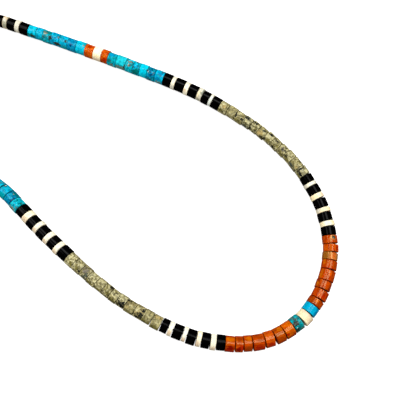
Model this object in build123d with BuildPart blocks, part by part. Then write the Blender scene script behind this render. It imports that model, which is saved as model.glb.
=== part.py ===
from build123d import *

import math
import os
from typing import NamedTuple

# Heishi bead necklace: 139 drum-shaped stone and shell beads on one thread, closed by a plain barrel clasp.
#
# The necklace lies flat as a whole loop, its front middle towards -Y and its clasp towards +Y. The origin is
# at the middle of its bounding box, on the surface that it lies on, with +Z up. The wearer's left is +X.

# Driving dimensions, in millimetres and degrees

BEAD_DIAMETER = 5.0
EDGE_BREAK = 0.15
THREAD_DIAMETER = 0.5
THREAD_CLEARANCE = 0.25

TURQUOISE_LENGTH = 3.16
ORANGE_LENGTH = 3.07
SHELL_LENGTH = 3.16
DISC_LENGTH = 1.68
JET_LENGTH = 3.16
GREEN_LENGTH = 3.31

# Clear length between two beads, how far beads stand off the line to one side or the other, and the
# phase from each bead's step to the next one's
JOINT_GAP = 0.12
SIDE_STEP = 0.1
STEP_TURN = 137.5

# The clasp's ends are thinner than its barrel by the taper all round, over the shoulder's length
CLASP_LENGTH = 16.0
CLASP_TAPER = 0.8
CLASP_SHOULDER = 3.0
CLASP_BORE_DEPTH = 2.5
CLASP_BORE_CLEARANCE = 0.1

# The part of each run of the route that the arc at its end takes up
ARC_SHARE = 0.45

# Passes after which the route's scale, and the opening of a joint in a bend, no longer change
FIT_PASSES = 5
JOINT_PASSES = 3

# Corners of the strand's route, from the clasp down the left side, round the front and up the right side
ROUTE = [
    (13.4, 83.9),
    (22.5, 67.0),
    (31.5, 28.3),
    (37.7, -2.3),
    (39.9, -17.1),
    (40.4, -27.6),
    (40.1, -46.6),
    (35.7, -64.5),
    (27.3, -78.6),
    (20.7, -85.0),
    (14.5, -89.5),
    (6.7, -92.5),
    (-2.9, -94.0),
    (-11.8, -92.8),
    (-16.2, -91.0),
    (-23.4, -87.2),
    (-30.5, -79.7),
    (-36.8, -67.1),
    (-39.6, -53.7),
    (-40.4, -36.7),
    (-39.3, -23.9),
    (-35.8, -2.6),
    (-29.0, 26.3),
    (-35.9, 49.8),
    (-38.7, 68.8),
    (-34.8, 82.4),
    (-27.5, 91.4),
    (-16.0, 95.1),
]


class Stone(NamedTuple):
    """A material of the strand: its typical bead length, and its girth as a share of its neighbours'."""

    length: float
    girth: float


STONES = {
    "turquoise": Stone(TURQUOISE_LENGTH, 1.0),
    "orange": Stone(ORANGE_LENGTH, 1.0),
    "shell": Stone(SHELL_LENGTH, 1.01),
    "disc": Stone(DISC_LENGTH, 1.01),
    "jet": Stone(JET_LENGTH, 1.0),
    "green": Stone(GREEN_LENGTH, 1.0),
}


class Run(NamedTuple):
    """Beads in a row.

    The stones and the nodes are taken in turn, a length is a share of its stone's, a girth a share of
    BEAD_DIAMETER at the run's first, middle and last bead, and the lean is the middle bead's, in degrees.
    """

    stones: tuple
    nodes: tuple
    lengths: tuple
    girths: tuple
    lean: float = 0.0


def banded(place):
    """Stones and nodes of a run of jet beads parted by thin shell discs."""
    side, end = place
    return ("jet", "disc"), (f"{side}_jet_{end}", f"{side}_discs_{end}")


def accent(side):
    """Stones and nodes of the three beads between two runs of turquoise."""
    names = (f"{side}_orange_accent_a", f"{side}_shell_accent", f"{side}_orange_accent_b")
    return ("orange", "shell", "orange"), names


# The strand, in the order of its route
STRAND = [
    Run(("green",), ("left_green_back",), (1.1, 1.06, 1.09, 1.05), (0.92, 0.92, 0.92)),
    Run(*banded(("left", "back")), (1.05, 1.11, 1.03, 1.03, 1.07, 0.95, 0.99, 1.04, 1.11), (0.92, 0.93, 0.95)),
    Run(("turquoise",), ("left_turquoise_back",), (1.01, 0.83, 1.01, 1.07, 1.07, 1.07, 1.13), (0.93, 0.97, 1.0)),
    Run(*accent("left"), (1.1, 1.0, 0.84), (1.02, 1.04, 1.05)),
    Run(("turquoise",), ("left_turquoise_front",), (1.07, 1.18, 0.94, 0.82, 0.94, 0.99, 1.06), (1.02, 1.02, 1.02)),
    Run(*banded(("left", "middle")), (1.03, 0.83, 1.18, 0.99, 1.11, 1.16, 0.89, 0.67, 1.05), (1.03, 1.01, 0.97)),
    Run(("green",), ("left_green_front",),
        (0.98, 1.04, 1.03, 0.98, 0.97, 0.97, 0.92, 1.05, 0.97, 0.98, 1.14, 1.01), (0.95, 0.87, 0.93), -6.0),
    Run(*banded(("left", "front")), (0.93, 0.78, 1.0, 1.08, 1.02, 0.93, 0.97, 1.06, 0.96), (0.98, 1.02, 1.06)),
    Run(("orange",), tuple(f"left_orange_{number}" for number in range(8, 0, -1)),
        (0.9, 0.83, 0.84, 1.0, 1.23, 0.98, 1.04, 0.8), (1.09, 1.1, 1.1)),
    Run(("turquoise", "shell", "turquoise"), ("centre_turquoise_left", "centre_shell", "centre_turquoise_right"),
        (0.93, 0.93, 1.0), (1.08, 1.1, 1.09)),
    Run(("orange",), tuple(f"right_orange_{number}" for number in range(1, 8)),
        (1.08, 1.03, 1.0, 1.23, 0.88, 0.81, 1.0), (1.1, 1.08, 1.06), -2.0),
    Run(*banded(("right", "front")), (0.88, 1.07, 0.86, 0.89, 0.96, 0.74, 1.06, 0.82, 0.82), (1.05, 1.04, 0.97)),
    Run(("green",), ("right_green_front",),
        (0.98, 0.9, 0.96, 1.06, 0.9, 0.85, 0.87, 0.88, 0.98, 0.93, 1.0, 0.91), (0.97, 0.87, 0.95)),
    Run(*banded(("right", "middle")), (1.11, 1.06, 0.9, 1.08, 1.04, 1.0, 0.97, 1.27, 0.99), (0.99, 1.0, 0.98)),
    Run(("turquoise",), ("right_turquoise_front",), (0.99, 0.96, 0.94, 1.05, 0.97, 1.06, 1.0), (0.99, 1.0, 1.01)),
    Run(*accent("right"), (1.04, 0.99, 1.05), (1.03, 1.04, 1.03)),
    Run(("turquoise",), ("right_turquoise_back",), (1.05, 0.97, 1.09, 0.98, 1.02, 0.95, 1.06), (1.0, 0.97, 0.94)),
    Run(*banded(("right", "back")), (1.03, 0.97, 1.0, 1.06, 1.04, 1.0, 0.98, 1.04, 1.01), (0.95, 0.93, 0.92)),
    Run(("green",), ("right_green_back",), (1.0, 1.06, 0.98, 1.03, 0.99), (0.92, 0.92, 0.92)),
]

# The thread runs level, at the height of the middle of a bead of the driving diameter
THREAD_HEIGHT = BEAD_DIAMETER / 2


class Bead(NamedTuple):
    """One bead before it has its place: its node, its size, and how far it stands off the strand's line."""

    node: str
    length: float
    radius: float
    step: float
    lean: float


def list_beads():
    """All beads of the strand in order, their girths on a parabola through the run's three shares."""
    beads = []
    for run in STRAND:
        for index, share in enumerate(run.lengths):
            along = index / (len(run.lengths) - 1)
            first, middle, last = run.girths
            girth = first * (1 - along) * (1 - 2 * along) + middle * 4 * along * (1 - along)
            girth += last * along * (2 * along - 1)
            stone = STONES[run.stones[index % len(run.stones)]]
            beads.append(
                Bead(
                    node=run.nodes[index % len(run.nodes)],
                    length=stone.length * share,
                    radius=BEAD_DIAMETER * girth * stone.girth / 2,
                    step=SIDE_STEP * math.sin(math.radians(STEP_TURN * len(beads))),
                    lean=run.lean * math.sin(math.pi * along),
                )
            )
    return beads


def corner_radii(corners):
    """Radius of the arc at each corner of the closed route, as large as its two runs allow.

    The run from the last corner to the first counts without the clasp, which takes up its middle.
    """
    runs = [after - corner for corner, after in zip(corners, corners[1:] + corners[:1])]
    free_lengths = [run.length for run in runs[:-1]] + [runs[-1].length - CLASP_LENGTH]
    radii = []
    for index, run_out in enumerate(runs):
        shorter = min(free_lengths[index - 1], free_lengths[index])
        half_turn = math.radians(runs[index - 1].get_angle(run_out)) / 2
        radii.append(ARC_SHARE * shorter / math.tan(half_turn))
    return radii


def strand_line(scale, middle):
    """The thread's line from the clasp's left end to its right end, with the route's middle moved to the origin."""
    corners = [Vector(x, y) * scale for x, y in ROUTE]
    clasp_middle = (corners[0] + corners[-1]) / 2
    half_clasp = (corners[0] - corners[-1]).normalized() * (CLASP_LENGTH / 2)
    points = [clasp_middle + half_clasp, *corners, clasp_middle - half_clasp]
    with BuildLine(Plane((-middle.X, -middle.Y, THREAD_HEIGHT))) as line:
        FilletPolyline([(point.X, point.Y) for point in points], radius=corner_radii(corners))
    return line.wire()


def heading(line, station):
    """Direction of the line at a length along it, in degrees."""
    way = line.tangent_at(min(station, line.length), PositionMode.LENGTH)
    return math.degrees(math.atan2(way.Y, way.X))


def string_beads(line, beads):
    """How far along the line each bead's middle lies, and the length that the whole strand takes.

    Two beads come nearest at the inner side of a bend, so the turn between them moves their middles apart.
    """
    middles = []
    filled = 0.0
    facing = heading(line, 0.0)
    girth = 0.0
    for bead in beads:
        girth = max(girth, bead.radius + abs(bead.step))
        closest = filled + JOINT_GAP + bead.length / 2
        opening = 0.0
        for _ in range(JOINT_PASSES):
            own_facing = heading(line, closest + opening) + bead.lean
            turn = math.radians((own_facing - facing + 180) % 360 - 180)
            opening = 2 * girth * math.sin(abs(turn) / 2)
        middles.append(closest + opening)
        filled = middles[-1] + bead.length / 2
        facing = own_facing
        girth = bead.radius + abs(bead.step)
    return middles, filled + JOINT_GAP


def fit_route(beads):
    """The line that the beads just fill from one end of the clasp to the other, and each bead's middle on it."""
    scale = 1.0
    for _ in range(FIT_PASSES):
        line = strand_line(scale, Vector(0, 0))
        middles, filled = string_beads(line, beads)
        scale *= (filled + CLASP_LENGTH) / (line.length + CLASP_LENGTH)
    low, high = footprint(line, middles, beads)
    return strand_line(scale, (low + high) / 2), middles, scale


def bead_plane(line, station, lean):
    """Plane across the strand: its normal along the bead, its x to the left of the way along, its y up."""
    way = line.tangent_at(station, PositionMode.LENGTH).rotate(Axis.Z, lean)
    return Plane(line.position_at(station, PositionMode.LENGTH), x_dir=way.rotate(Axis.Z, 90), z_dir=way)


def footprint(line, middles, beads):
    """Lowest and highest x and y that the beads reach."""
    corners = []
    for station, bead in zip(middles, beads):
        plane = bead_plane(line, station, bead.lean)
        for side in (-1, 1):
            for end in (-1, 1):
                rim = Vector(bead.step + side * bead.radius, 0, end * (bead.length / 2 - EDGE_BREAK))
                corners.append(plane.from_local_coords(rim))
    low = Vector(min(corner.X for corner in corners), min(corner.Y for corner in corners))
    high = Vector(max(corner.X for corner in corners), max(corner.Y for corner in corners))
    return low, high


def make_bead(plane, bead):
    """A drum with broken edges that lies on the surface, drilled where the thread passes through it."""
    with BuildPart() as drum:
        with BuildSketch(plane):
            with Locations((bead.step, bead.radius - THREAD_HEIGHT)):
                Circle(bead.radius)
        extrude(amount=bead.length / 2, both=True)
        chamfer(drum.edges().filter_by(GeomType.CIRCLE), EDGE_BREAK)
        with BuildSketch(plane):
            Circle(THREAD_DIAMETER / 2 + THREAD_CLEARANCE)
        extrude(amount=bead.length, both=True, mode=Mode.SUBTRACT)
    return drum.part


def make_thread(line):
    """One thread through every bead, with its ends seated in the bores of the clasp."""
    start = line.position_at(0)
    end = line.position_at(1)
    tuck = line.tangent_at(0) * (CLASP_BORE_DEPTH - CLASP_BORE_CLEARANCE)
    with BuildPart() as thread:
        with BuildLine() as path:
            Line(start - tuck, start)
            add(line)
            Line(end, end + tuck)
        with BuildSketch(Plane(start - tuck, z_dir=tuck)):
            Circle(THREAD_DIAMETER / 2)
        sweep(path=path.wire())
    return thread.part


def make_clasp(line):
    """A plain barrel with sloping shoulders, as thick as a bead, that lies in line between the strand's ends."""
    start = line.position_at(0)
    end = line.position_at(1)
    barrel_radius = THREAD_HEIGHT
    neck_radius = barrel_radius - CLASP_TAPER
    half = CLASP_LENGTH / 2
    bore_radius = THREAD_DIAMETER / 2 + CLASP_BORE_CLEARANCE
    across = Plane((start + end) / 2, z_dir=start - end)
    with BuildPart() as clasp:
        with BuildSketch(Plane(across.origin, x_dir=across.z_dir, z_dir=(0, 0, 1))):
            Polygon(
                (-half, 0),
                (-half, neck_radius),
                (-half + CLASP_SHOULDER, barrel_radius),
                (half - CLASP_SHOULDER, barrel_radius),
                (half, neck_radius),
                (half, 0),
                align=None,
            )
        revolve(axis=Axis(across.origin, across.z_dir))
        chamfer(clasp.faces().filter_by(GeomType.PLANE).edges(), EDGE_BREAK)
        for end_plane in (across.offset(half), across.offset(-half)):
            with BuildSketch(end_plane):
                Circle(bore_radius)
            extrude(amount=CLASP_BORE_DEPTH, both=True, mode=Mode.SUBTRACT)
    return clasp.part


def write_node(name, pieces):
    """Write the solids of one node as a STEP file."""
    with BuildPart() as node:
        for piece in pieces:
            add(piece)
    node.part.label = name
    export_step(node.part, f"parts/{name}.step")


os.makedirs("parts", exist_ok=True)

strand_beads = list_beads()
strand, bead_middles, route_scale = fit_route(strand_beads)

nodes = {}
for strand_bead, bead_middle in zip(strand_beads, bead_middles):
    bead_solid = make_bead(bead_plane(strand, bead_middle, strand_bead.lean), strand_bead)
    nodes.setdefault(strand_bead.node, []).append(bead_solid)
nodes["thread"] = [make_thread(strand)]
nodes["clasp"] = [make_clasp(strand)]

for node_name, node_pieces in nodes.items():
    write_node(node_name, node_pieces)

arc_radii = corner_radii([Vector(x, y) for x, y in ROUTE])
print(f"beads {len(strand_beads)}, nodes {len(nodes)}, route scale {route_scale:.4f}")
print(f"strand {strand.length:.1f} mm, whole loop {strand.length + CLASP_LENGTH:.1f} mm")
print("arc radii, mm:", ", ".join(f"{radius:.0f}" for radius in arc_radii))
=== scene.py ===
import math
from collections import defaultdict
from functools import partial
from typing import NamedTuple

import bmesh
import bpy
from bpy.props import FloatProperty, FloatVectorProperty, IntProperty, PointerProperty
from mathutils import Matrix, Vector


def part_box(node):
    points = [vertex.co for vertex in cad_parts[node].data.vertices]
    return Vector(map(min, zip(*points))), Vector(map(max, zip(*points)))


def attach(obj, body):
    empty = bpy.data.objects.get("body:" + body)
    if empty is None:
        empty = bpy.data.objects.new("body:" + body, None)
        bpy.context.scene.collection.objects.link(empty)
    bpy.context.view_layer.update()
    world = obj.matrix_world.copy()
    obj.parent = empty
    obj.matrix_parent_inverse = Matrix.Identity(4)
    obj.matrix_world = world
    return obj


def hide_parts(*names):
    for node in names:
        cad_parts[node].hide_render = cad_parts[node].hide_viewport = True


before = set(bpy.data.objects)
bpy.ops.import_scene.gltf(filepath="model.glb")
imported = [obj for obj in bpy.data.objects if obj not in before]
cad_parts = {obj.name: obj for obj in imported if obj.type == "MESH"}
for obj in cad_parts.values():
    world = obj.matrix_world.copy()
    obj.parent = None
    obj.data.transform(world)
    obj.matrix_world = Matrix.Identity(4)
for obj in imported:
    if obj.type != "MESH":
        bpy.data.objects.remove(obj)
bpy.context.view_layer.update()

bl_info = {
    "name": "Heishi Bead Necklace",
    "version": (1, 0, 0),
    "blender": (4, 5, 0),
    "location": "View3D > Sidebar > Necklace",
    "description": "Dresses the strung beads, clasp and thread of a heishi necklace and sets up its studio",
    "category": "Add Mesh",
}

MM = 0.001

# Points of two solids nearer than this are one point, in metres
MERGE_DISTANCE = 1e-6

# The bore is the only part of a bead this near its axis, in metres
BORE_REACH = 1.0 * MM

# A face's normal that rises less than this lies level
LEVEL_RISE = 0.02

# Faces whose normals lie this close to the axis, as a cosine, are a bead's ends
END_COSINE = 0.999

# Points further out than this share of half the height are on a bead's rim
RIM_SHARE = 0.9

# Beads this far apart along the strand have the same unevenness and chips
SEED_CYCLE = 97

# Marks that a bead can carry, and the place of one it doesn't have, in millimetres
MARKS = 4
NOWHERE = (0.0, 0.0, 100.0)

UP = (0.0, 0.0, 1.0)
WHITE = (1.0, 1.0, 1.0, 1.0)


def linear(red, green, blue):
    """Scene colour of a tone given as it looks on a screen, from 0 to 255."""
    shares = [level / 255 for level in (red, green, blue)]
    return tuple(share / 12.92 if share <= 0.04045 else ((share + 0.055) / 1.055) ** 2.4 for share in shares)


def tone(name, description, red, green, blue):
    """Property for one colour of the strand."""
    return FloatVectorProperty(
        name=name, description=description, subtype="COLOR", size=3, min=0.0, max=1.0,
        default=linear(red, green, blue))


def distance(name, description, default):
    """Property for one size, in metres."""
    return FloatProperty(
        name=name, description=description, subtype="DISTANCE", unit="LENGTH", default=default)


def position(name, description, default):
    """Property for one place, in metres."""
    return FloatVectorProperty(
        name=name, description=description, subtype="XYZ", unit="LENGTH", size=3, default=default)


def power(name, description, default):
    """Property for one light's power, in watts."""
    return FloatProperty(name=name, description=description, subtype="POWER", unit="POWER", default=default)


class NecklaceTones(bpy.types.PropertyGroup):
    """Colours of the stones, the shell, their marks, the clasp and the thread."""

    cyan: tone("Cyan", "Brightest turquoise", 0, 180, 205)
    azure: tone("Azure", "Blue turquoise", 0, 152, 190)
    deep_blue: tone("Deep blue", "Darkest blue turquoise", 0, 121, 161)
    teal: tone("Teal", "Greenish turquoise", 0, 139, 148)
    sea_green: tone("Sea green", "Darkest greenish turquoise", 0, 98, 96)
    aqua: tone("Aqua", "Light patches in turquoise", 28, 188, 198)
    turquoise_shade: tone("Turquoise shade", "Darkens the patches in turquoise", 90, 166, 164)
    navy: tone("Navy", "Ink-blue spots in turquoise", 0, 60, 98)
    umber: tone("Umber", "Dark brown matrix", 42, 45, 38)
    taupe: tone("Taupe", "Grey-brown matrix", 98, 112, 100)
    tan: tone("Tan", "Light brown matrix", 146, 146, 124)
    chalk: tone("Chalk", "White bits of matrix", 206, 214, 206)
    orange: tone("Orange", "Main tone of the orange shell", 168, 58, 0)
    coral: tone("Coral", "Lighter orange shell", 190, 80, 7)
    # Red, oxblood and rust are partly painted shade along the outer side of the orange beads, and oxblood
    # also at their rims
    red: tone("Red", "Red bands of the orange shell", 150, 30, 0)
    oxblood: tone("Oxblood", "Deepest red of the orange shell", 112, 10, 0)
    rust: tone("Rust", "Brownish orange shell", 144, 50, 0)
    ochre: tone("Ochre", "Yellowish orange shell", 178, 86, 0)
    sand: tone("Sand", "Pale crust on the orange shell", 168, 110, 56)
    bronze: tone("Bronze", "Olive-brown layer of the orange shell", 142, 84, 20)
    orange_shade: tone("Orange shade", "Darkens the patches in the orange shell", 206, 156, 110)
    khaki: tone("Khaki", "Main tone of the green stone", 143, 135, 91)
    pale_khaki: tone("Pale khaki", "Light grains of the green stone", 180, 174, 133)
    # Olive also serves as painted shade along one edge of the green beads and at their rims
    olive: tone("Olive", "Dark grains of the green stone", 100, 93, 44)
    bark: tone("Bark", "Brown cracks in the green stone", 66, 60, 34)
    slate: tone("Slate", "Blue-grey patches in the green stone", 66, 72, 62)
    soot: tone("Soot", "Black chips in the green stone", 18, 20, 15)
    honey: tone("Honey", "Warm patches in the green stone", 156, 138, 86)
    mauve: tone("Mauve", "Violet-grey spots in the green stone", 104, 97, 84)
    green_shade: tone("Green shade", "Darkens the patches in the green stone", 150, 142, 104)
    cream: tone("Cream", "Main tone of the white shell", 237, 233, 209)
    ivory: tone("Ivory", "Yellowish white shell", 233, 216, 173)
    # Peach also serves as painted shade along one edge of the white beads and at their rims
    peach: tone("Peach", "Warm stains in the white shell", 212, 190, 158)
    ash: tone("Ash", "Grey shade in the white shell", 202, 198, 180)
    shell_shade: tone("Shell shade", "Darkens the patches in the white shell", 246, 240, 226)
    jet: tone("Jet", "Black stone", 1, 1, 1)
    jet_brown: tone("Jet brown", "Faint brown streaks in the black stone", 4, 3, 3)
    silver: tone("Silver", "Clasp", 192, 190, 185)
    tarnish: tone("Tarnish", "Dark film in the clasp's low spots", 96, 93, 88)
    thread: tone("Thread", "Waxed thread", 46, 38, 32)


class NecklaceSizes(bpy.types.PropertyGroup):
    """Sizes of the finish that the beads get."""

    edge_rounding: distance("Edge rounding", "Edge radius of which each stone gets its share", 0.12 * MM)
    unevenness: distance("Unevenness", "How far the ground sides are out of round", 0.03 * MM)
    chipping: distance("Chipping", "How deep the edges are chipped", 0.05 * MM)
    sides: IntProperty(name="Sides", description="Flats round a bead", default=24, min=12, max=64)


class NecklaceStudio(bpy.types.PropertyGroup):
    """Camera and lights."""

    lens: FloatProperty(
        name="Lens", description="Focal length on a 36 mm sensor, in millimetres", default=37.506)
    camera_place: position("Camera", "Where the camera stands", (-0.035435, -0.056713, 0.1537))
    camera_target: position("Target", "What the camera looks at", (0.003035, -0.044513, 0.0025))
    camera_up: FloatVectorProperty(
        name="Up", description="Direction that is up in the picture", subtype="XYZ", size=3,
        default=(0.8124, 0.5272, 0.2493))
    key_place: position("Key light", "Where the main soft light hangs", (0.07, -0.112, 0.3))
    key_width: distance("Key width", "Width of the main soft light", 0.12)
    key_depth: distance("Key depth", "Depth of the main soft light", 0.12)
    key_power: power("Key power", "Power of the main soft light", 0.58)
    side_place: position("Side light", "Where the soft light at the side hangs", (0.095, 0.045, 0.3))
    side_width: distance("Side width", "Width of the side light", 0.17)
    side_depth: distance("Side depth", "Depth of the side light", 0.09)
    side_power: power("Side power", "Power of the side light", 0.52)
    back_place: position("Back light", "Where the soft light at the back hangs", (-0.05, 0.18, 0.3))
    back_width: distance("Back width", "Width of the back light", 0.26)
    back_depth: distance("Back depth", "Depth of the back light", 0.09)
    back_power: power("Back power", "Power of the back light", 0.58)
    ambient: FloatProperty(name="Ambient", description="Strength of the light from all round", default=0.4)
    reflected: FloatProperty(name="Reflected", description="Strength of the room in the polish", default=0.01)
    paper_glow: FloatProperty(
        name="Paper glow", description="How far the paper outshines its light", default=0.86)


class Bead(NamedTuple):
    """One bead of the frame: its middle, axis, size, and its bore's place and radius, in metres."""

    node: str
    middle: Vector
    axis: Vector
    length: float
    radius: float
    bore: Vector


def islands(mesh):
    """The loose solids of a node, each as its points and its faces' normals and areas."""
    copy = bmesh.new()
    copy.from_mesh(mesh)
    bmesh.ops.remove_doubles(copy, verts=copy.verts, dist=MERGE_DISTANCE)
    copy.normal_update()
    left = set(copy.verts)
    found = []
    while left:
        reached, front = set(), [left.pop()]
        while front:
            point = front.pop()
            reached.add(point)
            for edge in point.link_edges:
                other = edge.other_vert(point)
                if other in left:
                    left.discard(other)
                    front.append(other)
        faces = {face for point in reached for face in point.link_faces}
        found.append((
            [point.co.copy() for point in reached],
            [(face.normal.copy(), face.calc_area()) for face in faces],
        ))
    copy.free()
    return found


def measure_bead(node, points, faces):
    """A drum's middle, axis, length, radius and bore, from its points and faces."""
    ends = defaultdict(float)
    for normal, area in faces:
        if abs(normal.z) < LEVEL_RISE:
            sign = -1 if (normal.x, normal.y) < (0, 0) else 1
            ends[(round(sign * normal.x, 2), round(sign * normal.y, 2))] += area
    rough = Vector((*max(ends, key=ends.get), 0.0)).normalized()
    flat = [normal if normal.dot(rough) > 0 else -normal for normal, _ in faces
            if abs(normal.dot(rough)) > END_COSINE]
    axis = sum(flat, Vector()).normalized()
    along = [point.dot(axis) for point in points]
    length = max(along) - min(along)
    side = Vector((-axis.y, axis.x, 0.0))
    across = [(point.dot(side), point.z) for point in points]
    guess = [(max(column) + min(column)) / 2 for column in zip(*across)]
    top = max(height for _, height in across)
    rim = [spot for spot in across if math.dist(spot, guess) > RIM_SHARE * top / 2]
    middle = [sum(column) / len(rim) for column in zip(*rim)]
    radius = max(math.dist(spot, middle) for spot in across)
    bore = [spot for spot in across if math.dist(spot, middle) < BORE_REACH]
    bore_middle = [sum(column) / len(bore) for column in zip(*bore)]
    bore_radius = max(math.dist(spot, bore_middle) for spot in bore)
    place = axis * (max(along) + min(along)) / 2 + side * middle[0] + Vector((0, 0, middle[1]))
    return Bead(node, place, axis, length, radius,
                Vector((bore_middle[0] - middle[0], bore_middle[1] - middle[1], bore_radius)))


def nearest(beads, here):
    """The bead whose middle lies nearest to a place."""
    return min(beads, key=lambda bead: (bead.middle - here).length)


def read_strand():
    """All beads in order, from the clasp down the wearer's left side and up the right side."""
    loose = [
        measure_bead(name, points, faces)
        for name, node in sorted(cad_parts.items()) if name not in ("clasp", "thread")
        for points, faces in islands(node.data)
    ]
    low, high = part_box("clasp")
    here = (low + high) / 2
    bead = nearest([other for other in loose if other.node == "left_green_back"], here)
    ordered = []
    while True:
        way = bead.middle - here
        axis = bead.axis if bead.axis.dot(way) > 0 else -bead.axis
        bore = bead.bore if axis is bead.axis else Vector((-bead.bore.x, bead.bore.y, bead.bore.z))
        ordered.append(bead._replace(axis=axis, bore=bore))
        loose.remove(bead)
        if not loose:
            return ordered
        here = bead.middle
        bead = nearest(loose, here)


STRAND = read_strand()


class Mark(NamedTuple):
    """A patch on a bead: its tone, its place along the strand and across it, and its half sizes there.

    All are shares of the bead's half length and radius; a place across is positive on the loop's outer side.
    """

    tone: str
    along: float
    across: float
    long: float
    wide: float


class Look(NamedTuple):
    """A bead's main tone, the tone mixed into it, how much of that and of veins it has, and its marks."""

    tone: str
    second: str
    mottle: float
    veins: float
    marks: list
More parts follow.
